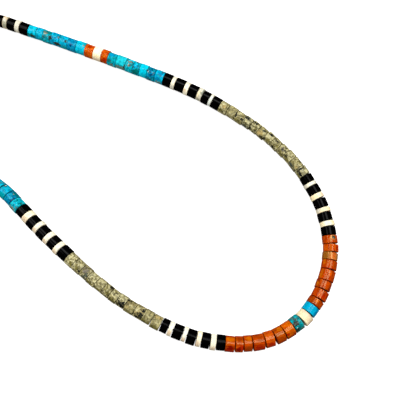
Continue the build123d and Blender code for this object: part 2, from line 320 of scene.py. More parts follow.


# For each node a row for each bead: what its look says, and then its marks.
# Marks that run a bead's length along one edge are painted shade: peach, ash and ivory on the white shell and
# olive on the green stone; the red, rust and oxblood bands on the orange shell's outer side are partly its
# own red layers and partly painted shade.
LOOKS = {
    "left_turquoise_back": [
        ("cyan", "azure", 0.4, 0.1, ("sea_green", 0.1, -0.62, 1.1, 0.3), ("umber", 0.35, -0.7, 0.8, 0.26)),
        ("azure", "cyan", 0.4, 0.0, ("teal", 0.5, -0.8, 0.8, 0.25)),
        ("teal", "cyan", 0.7, 0.5, ("sea_green", 0.1, 0.66, 1.1, 0.34), ("tan", -0.35, 0.42, 0.35, 0.17),
         ("taupe", -0.5, 0.6, 0.5, 0.2), ("umber", 0.95, -0.05, 0.3, 0.4)),
        ("azure", "deep_blue", 0.7, 0.15, ("umber", -0.95, -0.05, 0.3, 0.3), ("taupe", 0.75, 0.4, 0.3, 0.13),
         ("umber", 0.75, -0.65, 0.8, 0.26)),
        ("azure", "teal", 0.5, 0.2, ("umber", 0.62, 0.25, 0.2, 0.24), ("umber", -0.8, -0.62, 0.6, 0.24),
         ("teal", 0.5, -0.75, 0.7, 0.35)),
        ("deep_blue", "deep_blue", 0.25, 0.05, ("navy", -0.1, -0.05, 0.28, 0.26)),
        ("cyan", "azure", 0.4, 0.1, ("tan", 0.65, 0.45, 0.2, 0.16), ("teal", 0.95, 0.7, 0.4, 0.4)),
    ],
    "left_turquoise_front": [
        ("teal", "azure", 0.6, 0.4, ("deep_blue", -0.3, 0.65, 0.5, 0.3),
         ("sea_green", -0.5, -0.35, 0.6, 0.25), ("taupe", 0.2, -0.75, 0.5, 0.2)),
        ("aqua", "cyan", 0.4, 0.1, ("teal", -0.1, -0.52, 1.0, 0.16), ("taupe", 0.1, -0.76, 1.2, 0.28),
         ("umber", 0.95, -0.5, 0.25, 0.4)),
        ("cyan", "teal", 0.8, 0.5, ("tan", -0.1, 0.05, 0.26, 0.2), ("taupe", 0.1, 0.6, 0.6, 0.24),
         ("umber", 0.6, 0.65, 0.25, 0.16)),
        ("azure", "teal", 0.7, 0.3, ("sea_green", 0.2, -0.55, 1.0, 0.5), ("umber", -0.9, 0.1, 0.2, 0.2)),
        ("cyan", "cyan", 0.2, 0.0, ("umber", 0.95, 0.25, 0.14, 0.12)),
        ("deep_blue", "sea_green", 0.55, 0.4, ("chalk", -0.72, 0.22, 0.08, 0.13),
         ("navy", 0.2, -0.1, 0.35, 0.2), ("umber", -0.95, 0.4, 0.2, 0.16)),
        ("azure", "teal", 0.6, 0.4, ("deep_blue", 0.1, 0.45, 0.5, 0.28),
         ("deep_blue", -0.2, -0.35, 0.6, 0.3), ("taupe", 0.1, -0.82, 0.6, 0.2),
         ("umber", 0.5, 0.75, 0.3, 0.12)),
    ],
    "centre_turquoise_left": [("azure", "azure", 0.1, 0.0, ("deep_blue", 0.0, 0.85, 1.4, 0.3))],
    "centre_turquoise_right": [
        ("teal", "sea_green", 0.6, 0.7, ("umber", 0.42, -0.02, 0.66, 0.37), ("umber", 0.8, 0.75, 0.66, 0.22),
         ("sea_green", -0.2, 0.85, 0.6, 0.3), ("chalk", 0.68, 0.5, 0.1, 0.07)),
    ],
    "right_turquoise_front": [
        ("cyan", "teal", 0.8, 0.3, ("taupe", 0.0, 0.85, 1.0, 0.26), ("sea_green", -0.6, -0.45, 0.2, 0.16),
         ("sea_green", 0.5, -0.5, 0.2, 0.16)),
        ("deep_blue", "navy", 0.4, 0.1, ("azure", 0.0, 0.12, 1.1, 0.1), ("tan", 0.1, -0.6, 0.2, 0.14),
         ("navy", -0.9, 0.3, 0.25, 0.6), ("sea_green", -0.2, -0.75, 1.0, 0.25)),
        ("azure", "teal", 0.5, 0.2, ("teal", 0.0, 0.75, 1.2, 0.5), ("umber", 0.8, -0.65, 0.3, 0.25),
         ("chalk", 0.9, -0.7, 0.16, 0.14)),
        ("azure", "teal", 0.6, 0.6, ("umber", -0.3, 0.3, 0.3, 0.2), ("taupe", 0.5, -0.4, 0.5, 0.2)),
        ("cyan", "cyan", 0.3, 0.1, ("teal", 0.6, 0.5, 0.5, 0.3)),
        ("teal", "azure", 0.8, 0.8, ("tan", 0.2, 0.2, 0.3, 0.2), ("umber", -0.8, -0.3, 0.25, 0.3)),
        ("deep_blue", "azure", 0.5, 0.2, ("navy", 0.3, 0.3, 0.3, 0.2)),
    ],
    "right_turquoise_back": [
        ("azure", "cyan", 0.5, 0.3, ("umber", 0.5, 0.2, 0.3, 0.2)),
        ("teal", "sea_green", 0.7, 0.8, ("taupe", 0.0, 0.4, 0.6, 0.3), ("chalk", 0.6, -0.3, 0.2, 0.14)),
        ("cyan", "azure", 0.3, 0.1, ("tan", -0.6, -0.4, 0.25, 0.16)),
        ("azure", "deep_blue", 0.6, 0.4, ("navy", 0.1, 0.0, 0.3, 0.25)),
        ("cyan", "teal", 0.5, 0.5, ("umber", -0.7, 0.5, 0.5, 0.18), ("taupe", 0.3, -0.6, 0.6, 0.2)),
        ("deep_blue", "azure", 0.4, 0.2),
        ("cyan", "azure", 0.4, 0.2, ("umber", 0.8, -0.1, 0.2, 0.2)),
    ],
    # On the orange shell, the red, rust and oxblood bands along the outer side are partly its own red layers
    # and partly painted shade
    "left_orange_accent_a": [
        ("coral", "orange", 0.5, 0.0, ("red", 0.0, 0.65, 0.5, 0.2), ("ochre", 0.6, -0.7, 0.4, 0.25)),
    ],
    "left_orange_accent_b": [
        ("orange", "coral", 0.6, 0.0, ("red", 0.3, -0.5, 0.6, 0.3), ("ochre", 0.0, 0.0, 0.6, 0.2)),
    ],
    "right_orange_accent_a": [("orange", "rust", 0.5, 0.0, ("ochre", -0.3, 0.3, 0.5, 0.25))],
    "right_orange_accent_b": [("orange", "coral", 0.5, 0.0, ("red", 0.2, 0.4, 0.5, 0.3))],
    "left_orange_8": [
        ("orange", "rust", 0.4, 0.0, ("sand", -0.4, 0.45, 0.75, 0.36), ("umber", -0.35, 0.58, 0.36, 0.26),
         ("taupe", -0.25, 0.55, 0.14, 0.12), ("sand", 0.1, 0.1, 0.9, 0.08)),
    ],
    "left_orange_7": [("coral", "orange", 0.8, 0.0, ("red", 0.2, 0.8, 0.7, 0.2))],
    "left_orange_6": [
        ("sand", "ochre", 0.5, 0.0, ("bronze", 0.0, -0.62, 1.6, 0.52), ("bronze", 0.0, -0.08, 1.2, 0.08),
         ("bronze", 0.3, 0.9, 1.0, 0.2)),
    ],
    "left_orange_5": [
        ("orange", "rust", 0.5, 0.0, ("ochre", -0.4, -0.7, 0.6, 0.2), ("red", 0.9, 0.2, 0.2, 0.6)),
    ],
    "left_orange_4": [
        ("orange", "red", 0.4, 0.0, ("ochre", 0.0, -0.7, 0.9, 0.2), ("coral", -0.4, 0.4, 0.5, 0.2)),
    ],
    "left_orange_3": [
        ("rust", "red", 0.4, 0.0, ("ochre", 0.2, -0.75, 0.6, 0.2), ("orange", -0.2, 0.5, 0.8, 0.3)),
    ],
    "left_orange_2": [
        ("orange", "red", 0.4, 0.0, ("red", 0.3, 0.5, 0.4, 0.25), ("coral", 0.4, -0.1, 0.3, 0.1)),
    ],
    "left_orange_1": [
        ("rust", "rust", 0.2, 0.0, ("orange", 0.1, 0.75, 0.8, 0.22), ("ochre", -0.2, 0.1, 0.5, 0.2)),
    ],
    "right_orange_1": [
        ("ochre", "coral", 0.5, 0.0, ("rust", -0.2, 0.9, 1.4, 0.3), ("red", 0.75, 0.55, 0.35, 0.24),
         ("oxblood", -0.8, 0.85, 0.5, 0.2)),
    ],
    "right_orange_2": [
        ("rust", "ochre", 0.45, 0.0, ("rust", 0.0, 0.7, 1.4, 0.4), ("ochre", -0.4, -0.6, 0.7, 0.3)),
    ],
    "right_orange_3": [
        ("coral", "orange", 0.5, 0.0, ("red", 0.0, 0.72, 0.9, 0.34), ("coral", 0.2, -0.4, 0.8, 0.3)),
    ],
    "right_orange_4": [
        ("orange", "rust", 0.6, 0.0, ("red", 0.0, 0.7, 1.3, 0.42), ("rust", 0.3, -0.75, 0.9, 0.3)),
    ],
    "right_orange_5": [
        ("orange", "rust", 0.5, 0.0, ("rust", 0.0, 0.7, 1.3, 0.4), ("ochre", -0.3, -0.6, 0.7, 0.3)),
    ],
    "right_orange_6": [
        ("orange", "ochre", 0.5, 0.0, ("oxblood", 0.1, 0.65, 0.85, 0.34), ("rust", -0.1, -0.6, 0.7, 0.3),
         ("red", -0.8, 0.5, 0.5, 0.4)),
    ],
    "right_orange_7": [
        ("orange", "ochre", 0.5, 0.0, ("oxblood", 0.0, 0.6, 0.95, 0.4), ("red", 0.1, 0.9, 0.9, 0.3),
         ("ochre", 0.0, -0.6, 0.9, 0.3)),
    ],
    # The olive bands that run a bead's length along the edge turned from the lamps are painted shade
    "left_green_front": [
        ("khaki", "pale_khaki", 0.5, 0.1, ("honey", 0.0, 0.2, 0.5, 0.3), ("olive", -0.3, -0.6, 0.7, 0.25)),
        ("khaki", "olive", 0.2, 0.0),
        ("khaki", "pale_khaki", 0.6, 0.1, ("olive", 0.0, -0.6, 1.0, 0.28), ("soot", 0.75, -0.05, 0.5, 0.19),
         ("soot", -0.9, 0.05, 0.31, 0.27)),
        ("khaki", "slate", 0.6, 0.2, ("slate", -0.5, 0.7, 0.9, 0.3), ("pale_khaki", 0.35, 0.15, 0.35, 0.25),
         ("slate", 0.0, -0.8, 0.9, 0.3), ("soot", -0.6, 0.55, 0.75, 0.19)),
        ("khaki", "pale_khaki", 0.8, 0.3, ("soot", -0.4, 0.72, 0.75, 0.27), ("soot", 0.6, -0.4, 0.3, 0.4),
         ("soot", -0.95, -0.7, 0.35, 0.3), ("olive", 0.2, 0.1, 0.3, 0.2)),
        ("khaki", "olive", 0.3, 0.2, ("slate", 0.35, 0.5, 0.55, 0.3), ("honey", -0.4, -0.3, 0.75, 0.42),
         ("soot", 0.6, -0.7, 0.6, 0.3), ("soot", 0.45, 0.55, 0.44, 0.19)),
        ("pale_khaki", "khaki", 0.3, 0.1, ("soot", 0.0, 0.68, 0.69, 0.27), ("soot", -0.85, -0.62, 0.5, 0.27),
         ("olive", 0.3, -0.5, 0.7, 0.4)),
        ("khaki", "pale_khaki", 0.5, 0.3, ("soot", -0.1, 0.48, 0.38, 0.16), ("soot", 0.1, -0.72, 0.56, 0.3),
         ("olive", 0.7, 0.0, 0.3, 0.2)),
        ("khaki", "pale_khaki", 0.4, 0.3, ("mauve", -0.15, 0.18, 0.4, 0.32),
         ("umber", -0.18, 0.15, 0.24, 0.2), ("bark", 0.7, 0.3, 0.5, 0.14), ("olive", 0.2, -0.6, 0.8, 0.3)),
        ("khaki", "pale_khaki", 0.6, 0.1, ("soot", -0.5, -0.42, 0.38, 0.27), ("olive", 0.2, -0.7, 0.9, 0.3)),
        ("khaki", "olive", 0.5, 0.2, ("slate", -0.3, -0.62, 0.65, 0.3), ("honey", 0.7, -0.1, 0.3, 0.3)),
        ("pale_khaki", "slate", 0.6, 0.2, ("soot", -0.6, 0.1, 0.32, 0.6), ("soot", 0.1, -0.42, 1.0, 0.22),
         ("olive", 0.2, -0.8, 0.8, 0.2)),
    ],
    "right_green_front": [
        ("khaki", "khaki", 0.2, 0.1, ("olive", 0.0, 0.8, 1.2, 0.35), ("honey", -0.1, -0.7, 0.7, 0.25)),
        ("khaki", "pale_khaki", 0.2, 0.1, ("olive", 0.2, 0.8, 1.2, 0.3), ("khaki", 0.0, -0.5, 0.9, 0.3)),
        ("khaki", "honey", 0.6, 0.1, ("soot", -0.5, 0.3, 0.65, 0.34), ("soot", -0.75, -0.42, 0.35, 0.34),
         ("soot", 0.2, 0.8, 0.75, 0.27), ("soot", -0.9, 0.6, 0.3, 0.3)),
        ("khaki", "honey", 0.4, 0.2, ("soot", 0.7, -0.75, 0.5, 0.19), ("olive", 0.1, 0.8, 1.0, 0.2)),
        ("pale_khaki", "khaki", 0.4, 0.2, ("soot", 0.0, 0.62, 1.3, 0.46), ("soot", -0.6, 0.35, 0.5, 0.35),
         ("khaki", 0.2, -0.5, 0.3, 0.14)),
        ("khaki", "pale_khaki", 0.6, 0.1, ("olive", 0.0, 0.7, 0.8, 0.3)),
        ("khaki", "olive", 0.4, 0.3, ("mauve", 0.75, 0.55, 0.45, 0.28), ("soot", -0.55, -0.75, 0.5, 0.27),
         ("olive", -0.5, 0.3, 0.4, 0.3)),
        ("khaki", "pale_khaki", 0.4, 0.1, ("olive", 0.0, 0.8, 1.2, 0.2)),
        ("khaki", "pale_khaki", 0.9, 0.0, ("olive", 0.2, 0.75, 0.8, 0.3)),
        ("khaki", "mauve", 0.6, 0.2, ("slate", -0.4, 0.28, 0.45, 0.36), ("mauve", 0.3, -0.2, 0.6, 0.5),
         ("slate", -0.4, 0.75, 0.7, 0.25)),
        ("khaki", "pale_khaki", 0.6, 0.1, ("olive", -0.1, 0.5, 0.5, 0.25), ("soot", -0.9, 0.5, 0.25, 0.22)),
        ("pale_khaki", "khaki", 0.65, 0.1, ("olive", -0.6, 0.5, 0.4, 0.3)),
    ],
    "left_green_back": [
        ("khaki", "pale_khaki", 0.5, 0.2, ("slate", 0.2, 0.3, 0.4, 0.25)),
        ("khaki", "olive", 0.4, 0.2, ("soot", -0.6, -0.3, 0.3, 0.2)),
        ("pale_khaki", "khaki", 0.5, 0.1, ("honey", 0.1, 0.1, 0.6, 0.3)),
        ("khaki", "pale_khaki", 0.5, 0.3, ("slate", 0.5, -0.4, 0.4, 0.3), ("soot", -0.8, 0.5, 0.3, 0.2)),
    ],
    "right_green_back": [
        ("khaki", "olive", 0.4, 0.2, ("soot", 0.5, 0.2, 0.3, 0.2)),
        ("khaki", "pale_khaki", 0.6, 0.1, ("slate", -0.4, 0.4, 0.5, 0.25)),
        ("pale_khaki", "khaki", 0.5, 0.2, ("olive", 0.2, -0.3, 0.5, 0.3)),
        ("khaki", "honey", 0.4, 0.2, ("soot", -0.7, -0.5, 0.3, 0.2), ("slate", 0.6, 0.6, 0.4, 0.2)),
        ("khaki", "pale_khaki", 0.5, 0.2, ("mauve", 0.1, 0.2, 0.4, 0.25)),
    ],
    # Peach, ash and ivory bands that run a bead's length along one edge are painted shade, on the side turned
    # from the lamps and over the brightest lit side
    "left_shell_accent": [
        ("cream", "ivory", 0.5, 0.0, ("ivory", 0.0, -0.5, 1.4, 0.35), ("peach", 0.1, -0.85, 1.4, 0.35)),
    ],
    "right_shell_accent": [("cream", "ivory", 0.4, 0.0, ("peach", -0.4, 0.7, 0.8, 0.3))],
    "centre_shell": [
        ("ivory", "peach", 0.5, 0.0, ("peach", -0.95, 0.2, 0.45, 1.3), ("peach", 0.0, 0.9, 1.4, 0.35)),
    ],
    "left_discs_back": [
        ("cream", "peach", 0.5, 0.0, ("peach", 0.2, -0.6, 1.0, 0.4)),
        ("cream", "peach", 0.8, 0.0, ("peach", 0.2, -0.7, 1.4, 0.6)),
        ("peach", "tan", 0.8, 0.0, ("ash", -0.2, 0.4, 0.8, 0.3), ("tan", 0.4, -0.5, 1.0, 0.5)),
        ("ash", "cream", 0.4, 0.0, ("ash", 0.6, 0.2, 0.8, 0.9)),
    ],
    "left_discs_middle": [
        ("cream", "ivory", 0.4, 0.0, ("ash", 0.2, -0.7, 1.2, 0.5), ("ash", 0.0, 0.8, 1.4, 0.4)),
        ("cream", "ivory", 0.4, 0.0, ("peach", -0.5, -0.35, 0.8, 0.25), ("ash", 0.0, 0.85, 1.4, 0.35)),
        ("ash", "tan", 0.9, 0.0, ("ivory", -0.5, 0.1, 0.3, 0.8), ("ash", 0.0, 0.8, 1.4, 0.4),
         ("taupe", 0.95, 0.5, 0.4, 0.7)),
        ("chalk", "ash", 0.3, 0.0, ("ash", 0.0, 0.85, 1.4, 0.35)),
    ],
    "left_discs_front": [
        ("cream", "ash", 0.8, 0.0, ("ash", 0.0, -0.75, 1.2, 0.4), ("ash", 0.0, 0.9, 1.4, 0.3)),
        ("ivory", "cream", 0.6, 0.0, ("peach", 0.2, 0.8, 0.9, 0.3), ("ivory", 0.0, -0.5, 1.2, 0.5)),
        ("ivory", "ash", 0.4, 0.0, ("ivory", 0.0, 0.85, 1.4, 0.35), ("ash", -0.3, -0.65, 1.1, 0.35)),
        ("cream", "ivory", 0.5, 0.0, ("ivory", 0.0, -0.7, 1.2, 0.4), ("ivory", 0.0, 0.85, 1.4, 0.35)),
    ],
    "right_discs_front": [
        ("cream", "ash", 0.6, 0.0, ("peach", 0.0, 0.8, 1.0, 0.35)),
        ("cream", "ivory", 0.9, 0.0, ("peach", 0.3, 0.7, 1.0, 0.5), ("rust", 0.95, 0.8, 0.2, 0.12)),
        ("cream", "chalk", 0.6, 0.0, ("peach", 0.0, 0.75, 1.0, 0.35)),
        ("cream", "ash", 0.6, 0.0, ("peach", 0.1, 0.6, 1.0, 0.45)),
    ],
    "right_discs_middle": [
        ("cream", "ivory", 0.4, 0.0, ("peach", 0.0, 0.8, 1.0, 0.35), ("ash", -0.9, 0.0, 0.4, 0.8)),
        ("cream", "ivory", 0.4, 0.0, ("peach", 0.0, 0.8, 1.0, 0.35), ("ash", -0.9, 0.0, 0.4, 0.8)),
        ("cream", "ash", 0.8, 0.0, ("peach", 0.1, 0.75, 1.0, 0.35), ("ash", -0.9, -0.3, 0.4, 0.6)),
        ("cream", "ivory", 0.6, 0.0, ("peach", 0.0, 0.7, 1.1, 0.5)),
    ],
    "right_discs_back": [
        ("cream", "ivory", 0.5, 0.0, ("peach", 0.0, 0.5, 0.9, 0.4)),
        ("cream", "ivory", 0.4, 0.0, ("ash", 0.3, -0.4, 0.8, 0.4)),
        ("cream", "ivory", 0.6, 0.0, ("peach", -0.2, -0.3, 0.8, 0.4)),
        ("cream", "ivory", 0.4, 0.0),
    ],
}

# All black beads look alike
JET_LOOKS = [("jet", "jet_brown", 0.5, 0.0)]


def looks_of(node, count):
    """The looks of a node's beads."""
    rows = LOOKS.get(node, JET_LOOKS)
    return [
        Look(*row[:4], [Mark(*mark) for mark in row[4:]])
        for row in (rows[index % len(rows)] for index in range(count))
    ]


# Sockets of a Mix node that mixes colours
MIX_SHARE, MIX_UNDER, MIX_OVER, MIX_RESULT = 0, 6, 7, 2


def fill(tree, sockets, values):
    """Sets sockets to values, or links them from other sockets."""
    for key, value in values.items():
        if isinstance(value, bpy.types.NodeSocket):
            tree.links.new(value, sockets[key])
        else:
            sockets[key].default_value = value


def add_node(tree, kind, inputs=None, **settings):
    """A node with its settings and its inputs."""
    made = tree.nodes.new(kind)
    for name, value in settings.items():
        setattr(made, name, value)
    fill(tree, made.inputs, inputs or {})
    return made


def maths(tree, operation, *values):
    """Output of a Math node."""
    return add_node(tree, "ShaderNodeMath", dict(enumerate(values)), operation=operation).outputs[0]


def sums(tree):
    """Adding, subtracting, multiplying and dividing in a tree."""
    return [partial(maths, tree, operation) for operation in ("ADD", "SUBTRACT", "MULTIPLY", "DIVIDE")]


def vectors(tree, operation, *values):
    """Output of a Vector Math node: its number for a length, and otherwise its vector."""
    made = add_node(tree, "ShaderNodeVectorMath", dict(enumerate(values)), operation=operation)
    return made.outputs["Value" if operation == "LENGTH" else "Vector"]


def scaled(tree, vector, factor):
    """A vector or colour times a number."""
    made = add_node(tree, "ShaderNodeVectorMath", {0: vector, "Scale": factor}, operation="SCALE")
    return made.outputs["Vector"]


def joined(tree, *parts):
    """A vector from its numbers."""
    return add_node(tree, "ShaderNodeCombineXYZ", dict(enumerate(parts))).outputs[0]


def split(tree, vector):
    """The three numbers of a vector."""
    return add_node(tree, "ShaderNodeSeparateXYZ", {"Vector": vector}).outputs


def ramp(tree, value, low, high, to_low=0.0, to_high=1.0):
    """A smooth step from one value to another while the input goes from low to high."""
    values = {"Value": value, "From Min": low, "From Max": high, "To Min": to_low, "To Max": to_high}
    return add_node(tree, "ShaderNodeMapRange", values, interpolation_type="SMOOTHSTEP").outputs["Result"]


def blend_tones(tree, share, under, over, blend_type="MIX"):
    """One colour over another."""
    colours = {MIX_SHARE: share, MIX_UNDER: under, MIX_OVER: over}
    made = add_node(tree, "ShaderNodeMix", colours, data_type="RGBA", blend_type=blend_type)
    return made.outputs[MIX_RESULT]


def noise(tree, place, scale, detail=2.0, roughness=0.5, distortion=0.0):
    """Value of a Noise Texture."""
    values = {
        "Vector": place, "Scale": scale, "Detail": detail, "Roughness": roughness, "Distortion": distortion}
    return add_node(tree, "ShaderNodeTexNoise", values).outputs[0]


def wandering(tree, place, scale, reach):
    """A place that a soft noise moves by up to a reach."""
    drift = add_node(tree, "ShaderNodeTexNoise", {"Vector": place, "Scale": scale, "Detail": 2.0})
    return vectors(tree, "MULTIPLY_ADD", drift.outputs["Color"], (reach, reach, reach), place)


def new_group(name, kind, inputs, outputs):
    """A node group, the sockets it is given and those of its result.

    A socket is named with its type, or with its default if it is a number.
    """
    group = bpy.data.node_groups.new(name, kind)
    for direction, sockets in (("INPUT", inputs), ("OUTPUT", outputs)):
        for label, content in sockets.items():
            numeric = isinstance(content, float)
            socket_type = "NodeSocketFloat" if numeric else "NodeSocket" + content
            socket = group.interface.new_socket(name=label, in_out=direction, socket_type=socket_type)
            if numeric:
                socket.default_value = content
    return group, group.nodes.new("NodeGroupInput").outputs, group.nodes.new("NodeGroupOutput").inputs


def group_once(name, build):
    """A node group by name, built the first time it is asked for."""
    if name not in bpy.data.node_groups:
        build(name)
    return bpy.data.node_groups[name]


class ProfilePoint(NamedTuple):
    """A point of a bead's section: which end it is at, and how far it lies from that end, in edge roundings.

    Its reach is 0 at the bore's wall and 1 at the ground side, and out is how much further out it lies.
    """

    end: float
    inset: float
    reach: float
    out: float


HALF_SECTION = [
    ProfilePoint(end=-1, inset=1.0, reach=0, out=0.0),
    ProfilePoint(end=-1, inset=0.0, reach=0, out=0.8),
    ProfilePoint(end=-1, inset=0.0, reach=1, out=-1.0),
    ProfilePoint(end=-1, inset=0.3, reach=1, out=-0.3),
    ProfilePoint(end=-1, inset=1.0, reach=1, out=0.0),
    ProfilePoint(end=-1, inset=1.8, reach=1, out=0.0),
]
SECTION = [
    *HALF_SECTION, ProfilePoint(end=0, inset=0, reach=1, out=0),
    *(point._replace(end=1) for point in reversed(HALF_SECTION))
]

# Sizes of the blank, which only have to be near a real bead's
BLANK_BORE, BLANK_WALL, BLANK_HALF, BLANK_ROUNDING = 0.5 * MM, 2.0 * MM, 1.5 * MM, 0.2 * MM

# Unevenness and chips follow one noise each: its units for each metre along a bead, its shift from bead to
# bead, its scale for the unevenness and for the nicks, and the values between which a nick deepens
NOISE_ALONG, NOISE_SHIFT = 500.0, 17.3
UNEVEN_SCALE, NICK_SCALE = 0.9, 2.2
NICK_RANGE = (0.5, 0.68)

# A point with less out than this is on the outer edge, and a chip draws it in by this share of its depth
EDGE_OUT, CHIP_DRAW = -0.1, 0.6


def make_blank(sides):
    """A plain ring that carries its section and angle at each point, to be strung as a bead."""
    blank = bmesh.new()
    layers = [blank.verts.layers.float.new(name) for name in (*ProfilePoint._fields, "around")]
    rings = []
    for step in range(sides):
        around = 2 * math.pi * (step + 0.5) / sides
        ring = []
        for point in SECTION:
            reach = BLANK_BORE + BLANK_WALL * point.reach + BLANK_ROUNDING * point.out
            along = point.end * (BLANK_HALF - BLANK_ROUNDING * point.inset)
            corner = blank.verts.new((along, reach * math.sin(around), reach * math.cos(around)))
            for layer, value in zip(layers, (*point, around)):
                corner[layer] = value
            ring.append(corner)
        rings.append(ring)
    for ring, following in zip(rings, rings[1:] + rings[:1]):
        for index in range(len(SECTION)):
            after = (index + 1) % len(SECTION)
            face = blank.faces.new((ring[index], ring[after], following[after], following[index]))
            face.smooth = True
    bmesh.ops.recalc_face_normals(blank, faces=blank.faces)
    mesh = bpy.data.meshes.new("bead_blank")
    blank.to_mesh(mesh)
    blank.free()
    return bpy.data.objects.new("bead_blank", mesh)


def build_stringing(name):
    """The tree that turns points along the strand into drilled beads."""
    tree, given, result = new_group(
        name, "GeometryNodeTree",
        {"Geometry": "Geometry", "Blank": "Object", "Edge Rounding": 0.2 * MM, "Unevenness": 0.02 * MM,
         "Chipping": 0.05 * MM, "Stone": "Material"},
        {"Geometry": "Geometry"},
    )
    plus, minus, times, over = sums(tree)

    def named(label, kind="FLOAT"):
        return add_node(tree, "GeometryNodeInputNamedAttribute", {"Name": label}, data_type=kind).outputs[0]

    blank = add_node(tree, "GeometryNodeObjectInfo", {"Object": given["Blank"]})
    strung = {"Points": given["Geometry"], "Instance": blank.outputs["Geometry"]}
    placed = add_node(tree, "GeometryNodeInstanceOnPoints", strung)
    realized = add_node(tree, "GeometryNodeRealizeInstances", {"Geometry": placed.outputs["Instances"]})

    edge = given["Edge Rounding"]
    end, inset, reach, out, around = (named(label) for label in (*ProfilePoint._fields, "around"))
    half_length, radius, seed = split(tree, named("drum", "FLOAT_VECTOR"))
    bore_side, bore_up, bore_radius = split(tree, named("bore", "FLOAT_VECTOR"))
    turn_side, turn_up = maths(tree, "SINE", around), maths(tree, "COSINE", around)
    to_end = times(end, minus(half_length, times(inset, edge)))

    spot = joined(tree, plus(times(to_end, NOISE_ALONG), times(seed, NOISE_SHIFT)), turn_side, turn_up)
    out_of_round = times(noise(tree, spot, UNEVEN_SCALE, detail=1.0), given["Unevenness"])
    at_edge = times(reach, maths(tree, "LESS_THAN", out, EDGE_OUT))
    nicks = ramp(tree, noise(tree, spot, NICK_SCALE, detail=1.0), *NICK_RANGE)
    chipped = times(times(at_edge, nicks), given["Chipping"])
    inwards = plus(times(reach, out_of_round), chipped)

    towards_bore = minus(1.0, reach)
    wall = plus(times(towards_bore, bore_radius), times(reach, radius))
    off_axis = minus(plus(wall, times(out, edge)), inwards)
    sideways = maths(tree, "MULTIPLY_ADD", off_axis, turn_side, times(towards_bore, bore_side))
    upwards = maths(tree, "MULTIPLY_ADD", off_axis, turn_up, times(towards_bore, bore_up))
    along = minus(to_end, times(end, times(chipped, CHIP_DRAW)))

    axis = named("axis", "FLOAT_VECTOR")
    side = vectors(tree, "CROSS_PRODUCT", UP, axis)
    place = named("middle", "FLOAT_VECTOR")
    for step in (scaled(tree, axis, along), scaled(tree, side, sideways), joined(tree, 0.0, 0.0, upwards)):
        place = vectors(tree, "ADD", place, step)

    in_bead = joined(tree, *(over(part, MM) for part in (along, sideways, upwards)))
    from_end = over(minus(half_length, maths(tree, "ABSOLUTE", along)), MM)
    moved = add_node(tree, "GeometryNodeSetPosition", {"Geometry": realized.outputs[0], "Position": place})
    kept = moved.outputs[0]
    for label, kind, value in (("in_bead", "FLOAT_VECTOR", in_bead), ("from_end", "FLOAT", from_end)):
        kept = add_node(
            tree, "GeometryNodeStoreNamedAttribute", {"Geometry": kept, "Name": label, "Value": value},
            data_type=kind, domain="POINT",
        ).outputs[0]
    for label in (*ProfilePoint._fields, "around", "axis", "middle", "bore"):
        kept = add_node(tree, "GeometryNodeRemoveAttribute", {"Geometry": kept, "Name": label}).outputs[0]
    painted = add_node(tree, "GeometryNodeSetMaterial", {"Geometry": kept, "Material": given["Stone"]})
    fill(tree, result, {"Geometry": painted.outputs[0]})


def camera_side(bead, studio):
    """How far the side of a bead that faces the camera is turned to the loop's outer side, in radians."""
    sight = (Vector(studio.camera_place) - bead.middle).normalized()
    side = Vector(UP).cross(bead.axis)
    return math.atan2(sight.dot(side), sight.z)


def mark_place(bead, mark, facing):
    """A mark's middle in the bead, in millimetres, on the side that faces the camera."""
    across = max(-1.0, min(1.0, mark.across))
    around = facing + math.asin(across)
    radius = bead.radius / MM
    return (mark.along * bead.length / 2 / MM, radius * math.sin(around), radius * math.cos(around))


def write_layer(mesh, name, kind, rows):
    """A point attribute with one row for each bead."""
    layer = mesh.attributes.new(name, kind, "POINT")
    key = {"FLOAT_VECTOR": "vector", "FLOAT_COLOR": "color"}[kind]
    layer.data.foreach_set(key, [value for row in rows for value in row])


def write_looks(mesh, scene, name):
    """Writes the places, sizes and looks of one node's beads to the points that they are strung on."""
    tones, studio = scene.necklace_tones, scene.necklace_studio
    numbers = [number for number, bead in enumerate(STRAND) if bead.node == name]
    beads = [STRAND[number] for number in numbers]
    looks = looks_of(name, len(beads))

    def colour(label):
        return (*getattr(tones, label), 1.0)

    mesh.from_pydata([bead.middle for bead in beads], [], [])
    rows = {
        "middle": [bead.middle for bead in beads],
        "axis": [bead.axis for bead in beads],
        "bore": [bead.bore for bead in beads],
        "drum": [(bead.length / 2, bead.radius, number % SEED_CYCLE) for number, bead in zip(numbers, beads)],
        "tone": [colour(look.tone) for look in looks],
        "second_tone": [colour(look.second) for look in looks],
        "traits": [(look.mottle, look.veins, number) for number, look in zip(numbers, looks)],
    }
    for index in range(MARKS):
        tones_here, places, reaches = [], [], []
        for bead, look in zip(beads, looks):
            if index < len(look.marks):
                mark = look.marks[index]
                half_wide = mark.wide * bead.radius / MM
                tones_here.append(colour(mark.tone))
                places.append(mark_place(bead, mark, camera_side(bead, studio)))
                reaches.append((mark.long * bead.length / 2 / MM, half_wide, half_wide))
            else:
                tones_here.append(colour(look.tone))
                places.append(NOWHERE)
                reaches.append((1.0, 1.0, 1.0))
        rows[f"mark_tone_{index}"] = tones_here
        rows[f"mark_place_{index}"] = places
        rows[f"mark_reach_{index}"] = reaches
    for label, values in rows.items():
        write_layer(mesh, label, "FLOAT_COLOR" if "tone" in label else "FLOAT_VECTOR", values)


